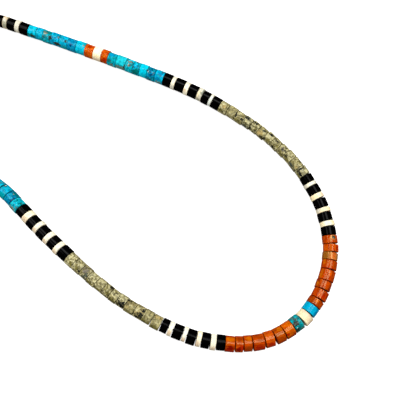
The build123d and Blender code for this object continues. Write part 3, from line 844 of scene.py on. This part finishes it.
def string_node(scene, name, material, rounding):
    """A plain mesh of all beads of one node, each with its own look."""
    sizes = scene.necklace_sizes
    mesh = bpy.data.meshes.new(name + "_places")
    write_looks(mesh, scene, name)
    piece = bpy.data.objects.new(name + "_beads", mesh)
    scene.collection.objects.link(piece)
    blank = make_blank(sizes.sides)
    scene.collection.objects.link(blank)
    tree = group_once("Bead Stringing", build_stringing)
    stringing = piece.modifiers.new("Stringing", "NODES")
    stringing.node_group = tree
    values = {
        "Blank": blank, "Edge Rounding": sizes.edge_rounding * rounding, "Unevenness": sizes.unevenness,
        "Chipping": sizes.chipping, "Stone": material,
    }
    for item in tree.interface.items_tree:
        if item.in_out == "INPUT" and item.name in values:
            stringing[item.identifier] = values[item.name]
    bpy.context.view_layer.update()
    evaluated = piece.evaluated_get(bpy.context.evaluated_depsgraph_get())
    strung = bpy.data.meshes.new_from_object(evaluated)
    piece.modifiers.remove(stringing)
    if not strung.polygons:
        raise RuntimeError(f"no beads were strung for {name}")
    strung.name = name + "_beads"
    piece.data = strung
    bpy.data.objects.remove(blank)
    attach(piece, "root")
    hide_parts(name)
    return piece


# Shifts that keep one pattern from following another, and the values between which a pattern comes up
SHADE_AWAY, LIGHT_AWAY, CRUMBS_AWAY = (31.0, 0.0, 0.0), (0.0, 57.0, 0.0), (0.0, 0.0, 23.0)
CLOUD_RANGE, SHADE_RANGE, LIGHT_RANGE, GRAIN_RANGE = (0.42, 0.58), (0.48, 0.56), (0.51, 0.6), (0.3, 0.7)
CRUMB_RANGE, MIXED_RANGE = (0.52, 0.62), (0.45, 0.6)

# How far chips and lines of matrix wander, in millimetres, and the scales of what moves them
CHIP_WANDER, LINE_WANDER = 0.6, 1.6
CHIP_WANDER_SCALE, LINE_WANDER_SCALE = 1.5, 0.9

# A line of matrix is full within this share of its width
LINE_CORE = 0.3

# Scales of the matrix's crumbs, of where it comes up, of its two tones, and of the grime and painted shade at
# the rims
CRUMB_SCALE, PRESENT_SCALE, MIXED_SCALE, RIM_GRIME_AND_SHADE_SCALE = 2.0, 0.7, 2.6, 1.6

# Matrix comes up where its noise passes a value: the start, its change with the amount, and the step's width
PRESENT_START, PRESENT_FALL, PRESENT_WIDTH = 0.68, -0.3, 0.1

# Grime and painted shade reach in from a rim by its width times its noise, with this slope and start
RIM_GRIME_AND_SHADE_SLOPE, RIM_GRIME_AND_SHADE_START = 3.0, -0.6


def build_mottling(name):
    """Two tones in soft clouds with darker and lighter patches, and the brightness of grains and chips."""
    group, given, result = new_group(
        name, "ShaderNodeTree",
        {"Place": "Vector", "Tone": "Color", "Second Tone": "Color", "Shade": "Color", "Light Tone": "Color",
         "Amount": 0.5, "Shade Amount": 0.5, "Light Amount": 0.5, "Cloud Scale": 0.7, "Patch Scale": 1.2,
         "Grain Scale": 4.0, "Grain": 0.1, "Chip Scale": 1.3, "Chip Contrast": 0.2},
        {"Colour": "Color", "Clouds": "Float", "Brightness": "Float"},
    )
    plus, minus, times, _ = sums(group)
    place = given["Place"]

    def patch(away, bounds, amount):
        spot = vectors(group, "ADD", place, away)
        texture = noise(group, spot, given["Patch Scale"], detail=3.0, roughness=0.6, distortion=0.5)
        return times(ramp(group, texture, *bounds), given[amount])

    clouds = noise(group, place, given["Cloud Scale"], detail=3.0, roughness=0.55, distortion=0.6)
    share = times(ramp(group, clouds, *CLOUD_RANGE), given["Amount"])
    colour = blend_tones(group, share, given["Tone"], given["Second Tone"])
    shaded = patch(SHADE_AWAY, SHADE_RANGE, "Shade Amount")
    colour = blend_tones(group, shaded, colour, given["Shade"], "MULTIPLY")
    lit = patch(LIGHT_AWAY, LIGHT_RANGE, "Light Amount")
    colour = blend_tones(group, lit, colour, given["Light Tone"])

    grains = ramp(group, noise(group, place, given["Grain Scale"]), *GRAIN_RANGE, to_low=-1.0)
    grains = maths(group, "MULTIPLY_ADD", grains, given["Grain"], 1.0)
    bent = wandering(group, place, CHIP_WANDER_SCALE, CHIP_WANDER)
    cells = add_node(group, "ShaderNodeTexVoronoi", {"Vector": bent, "Scale": given["Chip Scale"]})
    chance = add_node(group, "ShaderNodeSeparateColor", {"Color": cells.outputs["Color"]}).outputs[0]
    chips = times(minus(chance, 0.5), given["Chip Contrast"])
    fill(group, result, {"Colour": colour, "Clouds": clouds, "Brightness": plus(grains, chips)})


def build_mark(name):
    """A ragged patch round a place in the bead."""
    group, given, result = new_group(
        name, "ShaderNodeTree",
        {"In Bead": "Vector", "Place": "Vector", "Reach": "Vector", "Grain Place": "Vector",
         "Raggedness": 2.0, "Scale": 1.4, "Softness": 0.2},
        {"Mask": "Float"},
    )
    plus, minus, *_ = sums(group)
    away = vectors(group, "SUBTRACT", given["In Bead"], given["Place"])
    steps = vectors(group, "LENGTH", vectors(group, "DIVIDE", away, given["Reach"]))
    texture = noise(group, given["Grain Place"], given["Scale"], detail=3.0, roughness=0.6)
    edge = maths(group, "MULTIPLY_ADD", minus(texture, 0.5), given["Raggedness"], steps)
    softness = given["Softness"]
    mask = ramp(group, edge, minus(1.0, softness), plus(1.0, softness), to_low=1.0, to_high=0.0)
    fill(group, result, {"Mask": mask})


def build_matrix(name):
    """Wandering lines and crumbs of matrix that come and go."""
    group, given, result = new_group(
        name, "ShaderNodeTree",
        {"Place": "Vector", "Scale": 0.6, "Width": 0.06, "Amount": 0.5, "Dark": "Color", "Light": "Color"},
        {"Mask": "Float", "Colour": "Color"},
    )
    plus, _, times, _ = sums(group)
    place, width = given["Place"], given["Width"]
    bent = wandering(group, place, LINE_WANDER_SCALE, LINE_WANDER)
    cells = add_node(group, "ShaderNodeTexVoronoi", {"Vector": bent, "Scale": given["Scale"]},
                     feature="DISTANCE_TO_EDGE")
    lines = ramp(group, cells.outputs["Distance"], times(width, LINE_CORE), width, to_low=1.0, to_high=0.0)
    texture = noise(group, vectors(group, "ADD", place, CRUMBS_AWAY), CRUMB_SCALE, detail=3.0, roughness=0.65)
    crumbs = ramp(group, texture, *CRUMB_RANGE)
    low = maths(group, "MULTIPLY_ADD", given["Amount"], PRESENT_FALL, PRESENT_START)
    present = ramp(group, noise(group, place, PRESENT_SCALE), low, plus(low, PRESENT_WIDTH))
    mask = times(maths(group, "MAXIMUM", lines, crumbs), present)
    mixed = ramp(group, noise(group, place, MIXED_SCALE), *MIXED_RANGE)
    fill(group, result, {"Mask": mask, "Colour": blend_tones(group, mixed, given["Dark"], given["Light"])})


def build_rim_grime_and_shade(name):
    """Grime and wear along the rims of a bead, with painted shade where neighbouring beads meet."""
    group, given, result = new_group(
        name, "ShaderNodeTree", {"From End": "Float", "Place": "Vector", "Width": 0.25}, {"Mask": "Float"})
    uneven = maths(group, "MULTIPLY_ADD", noise(group, given["Place"], RIM_GRIME_AND_SHADE_SCALE), RIM_GRIME_AND_SHADE_SLOPE, RIM_GRIME_AND_SHADE_START)
    reach = maths(group, "MULTIPLY", given["Width"], uneven)
    mask = ramp(group, given["From End"], 0.0, reach, to_low=1.0, to_high=0.0)
    fill(group, result, {"Mask": mask})


def attribute(tree, name, output="Vector"):
    """Socket of an attribute that the beads carry."""
    made = add_node(tree, "ShaderNodeAttribute", attribute_name=name, attribute_type="GEOMETRY")
    return made.outputs[output]


class Finish(NamedTuple):
    """How one stone is finished. Scales are in units per millimetre, relief and widths in millimetres.

    Shade and light are the tones of its patches. How much it has of them is base for a bead without mottling,
    and shaded and lit say how strong they get. Rounding is a share of the edge rounding.
    """

    shade: str
    light: str
    base: float
    shaded: float
    lit: float
    patch_scale: float
    grain: float
    roughness: tuple
    specular: float
    relief: float
    rounding: float
    raggedness: float = 3.0
    mark_scale: float = 1.4
    softness: float = 0.15
    cloud_scale: float = 0.6
    grain_scale: float = 5.0
    matrix_scale: float = 0.0
    matrix_width: float = 0.09
    matrix_base: float = 0.0
    matrix_tones: tuple = ("umber", "taupe")
    # Tone, strength and width of the darkening at a bead's rims: partly grime, partly painted shade in the
    # joints
    dirt_tone: str = "umber"
    dirt: float = 0.0
    dirt_width: float = 0.15
    glow: float = 0.0
    bleed: tuple = (1.0, 0.93, 0.8)
    stretch: tuple = (1.0, 1.0, 1.0)
    chips: float = 0.0
    chip_scale: float = 1.3
    sheen: tuple = WHITE


FINISHES = {
    "turquoise": Finish(
        shade="turquoise_shade", light="aqua", base=0.25, shaded=0.9, lit=0.6, patch_scale=1.1, grain=0.06,
        roughness=(0.12, 0.19), specular=0.054, relief=0.005, rounding=0.5, raggedness=2.8, mark_scale=1.5,
        matrix_scale=0.55, dirt_tone="sea_green", dirt=0.5, dirt_width=0.14, chips=0.75, chip_scale=1.2),
    "spiny_oyster": Finish(
        shade="orange_shade", light="coral", base=0.35, shaded=0.9, lit=0.6, patch_scale=0.9, grain=0.07,
        roughness=(0.09, 0.16), specular=0.2, relief=0.0015, rounding=0.75, raggedness=2.4, mark_scale=1.1,
        softness=0.3, dirt_tone="oxblood", dirt=0.12, dirt_width=0.16, chips=0.45, chip_scale=0.8,
        stretch=(0.5, 1.2, 1.2), sheen=(1.0, 0.85, 0.45, 1.0), glow=0.3, bleed=(1.0, 0.3, 0.1)),
    "jet": Finish(
        shade="jet_brown", light="jet", base=0.0, shaded=0.0, lit=0.0, patch_scale=1.0, grain=0.2,
        roughness=(0.12, 0.2), specular=0.036, relief=0.006, rounding=0.8),
    "shell": Finish(
        shade="shell_shade", light="cream", base=0.0, shaded=0.6, lit=0.4, patch_scale=0.7, grain=0.02,
        roughness=(0.25, 0.4), specular=0.15, relief=0.006, rounding=0.6, raggedness=1.6, mark_scale=0.8,
        softness=0.6, dirt_tone="peach", dirt=0.4, dirt_width=0.2, glow=0.25),
    "serpentine": Finish(
        shade="green_shade", light="pale_khaki", base=0.55, shaded=0.9, lit=0.9, patch_scale=1.05, grain=0.18,
        roughness=(0.45, 0.6), specular=0.15, relief=0.02, rounding=0.4, raggedness=3.6, mark_scale=1.6,
        softness=0.12, matrix_scale=0.5, matrix_width=0.08, matrix_base=0.45, matrix_tones=("bark", "olive"),
        dirt_tone="olive", dirt=0.12, dirt_width=0.12, chips=1.1, chip_scale=1.5),
}

# How far apart the patterns of neighbouring beads are taken along and across the bead, in millimetres
SHIFT_ALONG, SHIFT_ACROSS = 13.7, 7.1

# The clouds between these values take the polish from its finest to its dullest
POLISH_RANGE = (0.3, 0.7)

# How deep light bleeds into a stone that glows
BLEED_DEPTH = 0.6 * MM


def new_material(name):
    """A material with its node tree and its Principled shader."""
    material = bpy.data.materials.new(name)
    material.use_nodes = True
    return material, material.node_tree, material.node_tree.nodes["Principled BSDF"]


def relief(tree, height, strength, depth):
    """Normal of a surface with fine relief, as deep as depth in metres."""
    bump = add_node(tree, "ShaderNodeBump", {"Height": height, "Strength": strength, "Distance": depth})
    return bump.outputs[0]


def stone_material(scene, name):
    """A procedural stone that takes each bead's tones and marks from the bead."""
    tones, finish = scene.necklace_tones, FINISHES[name]
    material, tree, shader = new_material(name + "_finish")
    plus, _, times, _ = sums(tree)

    def solid(tone_name):
        return (*getattr(tones, tone_name), 1.0)

    in_bead = attribute(tree, "in_bead")
    mottle, veins, number = split(tree, attribute(tree, "traits"))
    shift = joined(tree, times(number, SHIFT_ALONG), times(number, SHIFT_ACROSS), number)
    grain_place = vectors(tree, "MULTIPLY_ADD", in_bead, finish.stretch, shift)
    patchy = maths(tree, "MULTIPLY_ADD", mottle, 1.0 - finish.base, finish.base)

    mottling = add_node(tree, "ShaderNodeGroup", {
        "Place": grain_place, "Tone": attribute(tree, "tone", "Color"),
        "Second Tone": attribute(tree, "second_tone", "Color"), "Shade": solid(finish.shade),
        "Light Tone": solid(finish.light), "Amount": mottle,
        "Shade Amount": times(patchy, finish.shaded), "Light Amount": times(patchy, finish.lit),
        "Cloud Scale": finish.cloud_scale, "Patch Scale": finish.patch_scale,
        "Grain Scale": finish.grain_scale, "Grain": finish.grain, "Chip Scale": finish.chip_scale,
        "Chip Contrast": times(patchy, finish.chips),
    }, node_tree=group_once("Mottling", build_mottling))
    colour = mottling.outputs["Colour"]

    for index in range(MARKS):
        mark = add_node(tree, "ShaderNodeGroup", {
            "In Bead": in_bead, "Place": attribute(tree, f"mark_place_{index}"),
            "Reach": attribute(tree, f"mark_reach_{index}"), "Grain Place": grain_place,
            "Raggedness": finish.raggedness, "Scale": finish.mark_scale, "Softness": finish.softness,
        }, node_tree=group_once("Ragged Mark", build_mark))
        mark_tone = attribute(tree, f"mark_tone_{index}", "Color")
        colour = blend_tones(tree, mark.outputs["Mask"], colour, mark_tone)

    if finish.matrix_scale:
        dark, light = finish.matrix_tones
        matrix = add_node(tree, "ShaderNodeGroup", {
            "Place": grain_place, "Amount": plus(veins, finish.matrix_base), "Scale": finish.matrix_scale,
            "Width": finish.matrix_width, "Dark": solid(dark), "Light": solid(light),
        }, node_tree=group_once("Matrix", build_matrix))
        colour = blend_tones(tree, matrix.outputs["Mask"], colour, matrix.outputs["Colour"])

    colour = scaled(tree, colour, mottling.outputs["Brightness"])
    # Darkens each bead towards its ends: partly grime, partly painted shade in the joints between beads
    if finish.dirt:
        dirt = add_node(tree, "ShaderNodeGroup", {
            "From End": attribute(tree, "from_end", "Fac"), "Place": grain_place, "Width": finish.dirt_width,
        }, node_tree=group_once("Joint Dirt", build_rim_grime_and_shade))
        colour = blend_tones(tree, times(dirt.outputs["Mask"], finish.dirt), colour, solid(finish.dirt_tone))

    pits = noise(tree, grain_place, finish.grain_scale, detail=3.0, roughness=0.6)
    polish = ramp(tree, mottling.outputs["Clouds"], *POLISH_RANGE, *finish.roughness)
    fill(tree, shader.inputs, {
        "Base Color": colour, "Roughness": polish, "Specular IOR Level": finish.specular,
        "Specular Tint": finish.sheen, "Subsurface Weight": finish.glow, "Subsurface Radius": finish.bleed,
        "Subsurface Scale": BLEED_DEPTH, "Normal": relief(tree, pits, strength=0.5, depth=finish.relief * MM),
    })
    return material


def silver_material(scene):
    """Turned silver with fine lines round it and a dark film in its low spots."""
    tones = scene.necklace_tones
    material, tree, shader = new_material("silver_finish")
    place = add_node(tree, "ShaderNodeTexCoord").outputs["Object"]
    film = ramp(tree, noise(tree, place, scale=350.0, detail=3.0, roughness=0.6), low=0.45, high=0.75)
    darkened = maths(tree, "MULTIPLY", film, 0.5)
    colour = blend_tones(tree, darkened, (*tones.silver, 1.0), (*tones.tarnish, 1.0))
    lines = noise(tree, vectors(tree, "MULTIPLY", place, (9000.0, 900.0, 900.0)), scale=1.0)
    fill(tree, shader.inputs, {
        "Base Color": colour, "Roughness": ramp(tree, film, low=0.0, high=1.0, to_low=0.36, to_high=0.5),
        "Metallic": 0.6, "Normal": relief(tree, lines, strength=0.3, depth=0.01 * MM),
    })
    return material


def thread_material(scene):
    """Waxed thread, its fibres mottled."""
    thread = scene.necklace_tones.thread
    material, tree, shader = new_material("thread_finish")
    place = add_node(tree, "ShaderNodeTexCoord").outputs["Object"]
    wave = {"Vector": place, "Scale": 1500.0, "Distortion": 4.0, "Detail": 2.0}
    fibres = add_node(tree, "ShaderNodeTexWave", wave, bands_direction="DIAGONAL").outputs["Fac"]
    colour = blend_tones(tree, fibres, (*(level * 0.5 for level in thread), 1.0), (*thread, 1.0))
    normal = relief(tree, fibres, strength=0.6, depth=0.03 * MM)
    fill(tree, shader.inputs, {"Base Color": colour, "Roughness": 0.6, "Normal": normal})
    return material


# The words in a node's name that say which stone it is, by the record's slot
SLOT_NODES = {
    "turquoise": ("turquoise",), "spiny_oyster": ("orange",), "jet": ("jet",),
    "shell": ("shell", "discs"), "serpentine": ("green",),
}


def string_all(scene, slot):
    """Strings all nodes of one stone, in the order of the strand."""
    material = stone_material(scene, slot)
    for name in dict.fromkeys(bead.node for bead in STRAND):
        if any(word in name for word in SLOT_NODES[slot]):
            piece = string_node(scene, name, material, FINISHES[slot].rounding)


class NECKLACE_OT_turquoise(bpy.types.Operator):
    """Strings the turquoise beads."""

    bl_idname = "necklace.turquoise"
    bl_label = "Turquoise beads"

    def execute(self, context):
        string_all(context.scene, "turquoise")
        return {"FINISHED"}


class NECKLACE_OT_orange(bpy.types.Operator):
    """Strings the orange shell beads."""

    bl_idname = "necklace.orange"
    bl_label = "Orange shell beads"

    def execute(self, context):
        string_all(context.scene, "spiny_oyster")
        return {"FINISHED"}


class NECKLACE_OT_jet(bpy.types.Operator):
    """Strings the black beads."""

    bl_idname = "necklace.jet"
    bl_label = "Black beads"

    def execute(self, context):
        string_all(context.scene, "jet")
        return {"FINISHED"}


class NECKLACE_OT_shell(bpy.types.Operator):
    """Strings the white shell beads and discs."""

    bl_idname = "necklace.shell"
    bl_label = "White shell beads"

    def execute(self, context):
        string_all(context.scene, "shell")
        return {"FINISHED"}


class NECKLACE_OT_green(bpy.types.Operator):
    """Strings the green stone beads."""

    bl_idname = "necklace.green"
    bl_label = "Green stone beads"

    def execute(self, context):
        string_all(context.scene, "serpentine")
        return {"FINISHED"}


class NECKLACE_OT_clasp(bpy.types.Operator):
    """Finishes the clasp and the thread."""

    bl_idname = "necklace.clasp"
    bl_label = "Clasp and thread"

    def execute(self, context):
        for name, material in (("clasp", silver_material), ("thread", thread_material)):
            finish = material(context.scene)
            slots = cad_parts[name].data.materials
            slots.clear()
            slots.append(finish)
        return {"FINISHED"}


# Half the floor's width, and what the lamps point at, in metres
FLOOR_HALF = 1.5
LAMPS_AIM = Vector((0.0, -0.05, 0.0))

# The paper's tone, its tone in the polish, and the tint of the light from all round
PAPER, PAPER_IN_POLISH, ROOM = (0.5, 0.49, 0.48, 1.0), (0.04, 0.04, 0.04, 1.0), (1.0, 0.985, 0.965, 1.0)

# The camera's sensor in millimetres, and how near it sees in metres
SENSOR, NEAREST = 36.0, 0.01


def lay_floor(scene, studio):
    """White paper under the necklace."""
    mesh = bpy.data.meshes.new("floor")
    corners = [(x * FLOOR_HALF, y * FLOOR_HALF, 0.0) for x, y in ((-1, -1), (1, -1), (1, 1), (-1, 1))]
    mesh.from_pydata(corners, [], [(0, 1, 2, 3)])
    floor = bpy.data.objects.new("floor", mesh)
    scene.collection.objects.link(floor)
    mesh.materials.append(floor_material(studio.paper_glow))


def floor_material(glow):
    """Plain white paper, bright to the camera, that throws little light back into the polish."""
    material, tree, _ = new_material("floor_paper")
    tree.nodes.clear()
    rays = add_node(tree, "ShaderNodeLightPath")
    paper = add_node(tree, "ShaderNodeBsdfDiffuse", {"Color": PAPER})
    dark = add_node(tree, "ShaderNodeBsdfDiffuse", {"Color": PAPER_IN_POLISH})
    bright = add_node(tree, "ShaderNodeEmission", {"Color": WHITE, "Strength": glow})
    seen = add_node(tree, "ShaderNodeAddShader", {0: paper.outputs[0], 1: bright.outputs[0]})
    shader = paper
    for ray, other in (("Is Glossy Ray", dark), ("Is Camera Ray", seen)):
        shader = add_node(tree, "ShaderNodeMixShader",
                          {0: rays.outputs[ray], 1: shader.outputs[0], 2: other.outputs[0]})
    add_node(tree, "ShaderNodeOutputMaterial", {"Surface": shader.outputs[0]})
    return material


def hang_lamp(scene, studio, name):
    """A soft light that points at the necklace."""
    parts = ("place", "width", "depth", "power")
    place, width, depth, energy = (getattr(studio, f"{name}_{part}") for part in parts)
    lamp = bpy.data.lights.new(name + "_light", "AREA")
    lamp.shape, lamp.size, lamp.size_y, lamp.energy = "RECTANGLE", width, depth, energy
    light = bpy.data.objects.new(name + "_light", lamp)
    light.location = place
    light.rotation_mode = "QUATERNION"
    light.rotation_quaternion = (LAMPS_AIM - Vector(place)).to_track_quat("-Z", "Y")
    scene.collection.objects.link(light)


def light_room(scene, studio):
    """Even light from all round, dim in the polish and white to the camera."""
    world = scene.world or bpy.data.worlds.new("World")
    scene.world = world
    world.use_nodes = True
    tree = world.node_tree
    tree.nodes.clear()
    rays = add_node(tree, "ShaderNodeLightPath")
    darker = studio.reflected - studio.ambient
    soft = maths(tree, "MULTIPLY_ADD", rays.outputs["Is Glossy Ray"], darker, studio.ambient)
    strength = maths(tree, "MAXIMUM", soft, rays.outputs["Is Camera Ray"])
    tint = blend_tones(tree, rays.outputs["Is Camera Ray"], ROOM, WHITE)
    sky = add_node(tree, "ShaderNodeBackground", {"Color": tint, "Strength": strength})
    add_node(tree, "ShaderNodeOutputWorld", {"Surface": sky.outputs[0]}).is_active_output = True


def stand_camera(scene, studio):
    """A camera where the photograph's stood."""
    camera = bpy.data.objects.new("camera", bpy.data.cameras.new("camera"))
    back = (Vector(studio.camera_place) - Vector(studio.camera_target)).normalized()
    right = Vector(studio.camera_up).cross(back).normalized()
    turn = Matrix((right, back.cross(right), back)).transposed()
    camera.matrix_world = Matrix.Translation(studio.camera_place) @ turn.to_4x4()
    camera.data.lens = studio.lens
    camera.data.sensor_width = SENSOR
    camera.data.clip_start = NEAREST
    scene.collection.objects.link(camera)
    scene.camera = camera


class NECKLACE_OT_studio(bpy.types.Operator):
    """Sets up the floor, the lights and the camera."""

    bl_idname = "necklace.studio"
    bl_label = "Studio"

    def execute(self, context):
        scene, studio = context.scene, context.scene.necklace_studio
        scene.view_settings.view_transform = "Standard"
        lay_floor(scene, studio)
        for name in ("key", "side", "back"):
            hang_lamp(scene, studio, name)
        light_room(scene, studio)
        stand_camera(scene, studio)
        return {"FINISHED"}


class NECKLACE_PT_sidebar(bpy.types.Panel):
    """Lists the steps and their values in the 3D view's sidebar."""

    bl_idname = "NECKLACE_PT_sidebar"
    bl_label = "Heishi Bead Necklace"
    bl_space_type = "VIEW_3D"
    bl_region_type = "UI"
    bl_category = "Necklace"

    def draw(self, context):
        layout, scene = self.layout, context.scene
        for operator in OPERATORS:
            layout.operator(operator.bl_idname)
        for group in (scene.necklace_sizes, scene.necklace_studio, scene.necklace_tones):
            column = layout.column()
            for name in type(group).__annotations__:
                column.prop(group, name)


OPERATORS = (
    NECKLACE_OT_studio, NECKLACE_OT_turquoise, NECKLACE_OT_orange, NECKLACE_OT_jet, NECKLACE_OT_shell,
    NECKLACE_OT_green, NECKLACE_OT_clasp,
)
CLASSES = (NecklaceTones, NecklaceSizes, NecklaceStudio, *OPERATORS, NECKLACE_PT_sidebar)


def register():
    for item in CLASSES:
        bpy.utils.register_class(item)
    bpy.types.Scene.necklace_tones = PointerProperty(type=NecklaceTones)
    bpy.types.Scene.necklace_sizes = PointerProperty(type=NecklaceSizes)
    bpy.types.Scene.necklace_studio = PointerProperty(type=NecklaceStudio)


def unregister():
    del bpy.types.Scene.necklace_studio
    del bpy.types.Scene.necklace_sizes
    del bpy.types.Scene.necklace_tones
    for item in reversed(CLASSES):
        bpy.utils.unregister_class(item)


def main():
    """Dresses the necklace step by step."""
    register()
    for operator in OPERATORS:
        group, name = operator.bl_idname.split(".")
        getattr(getattr(bpy.ops, group), name)()


if __name__ == "__main__":
    main()
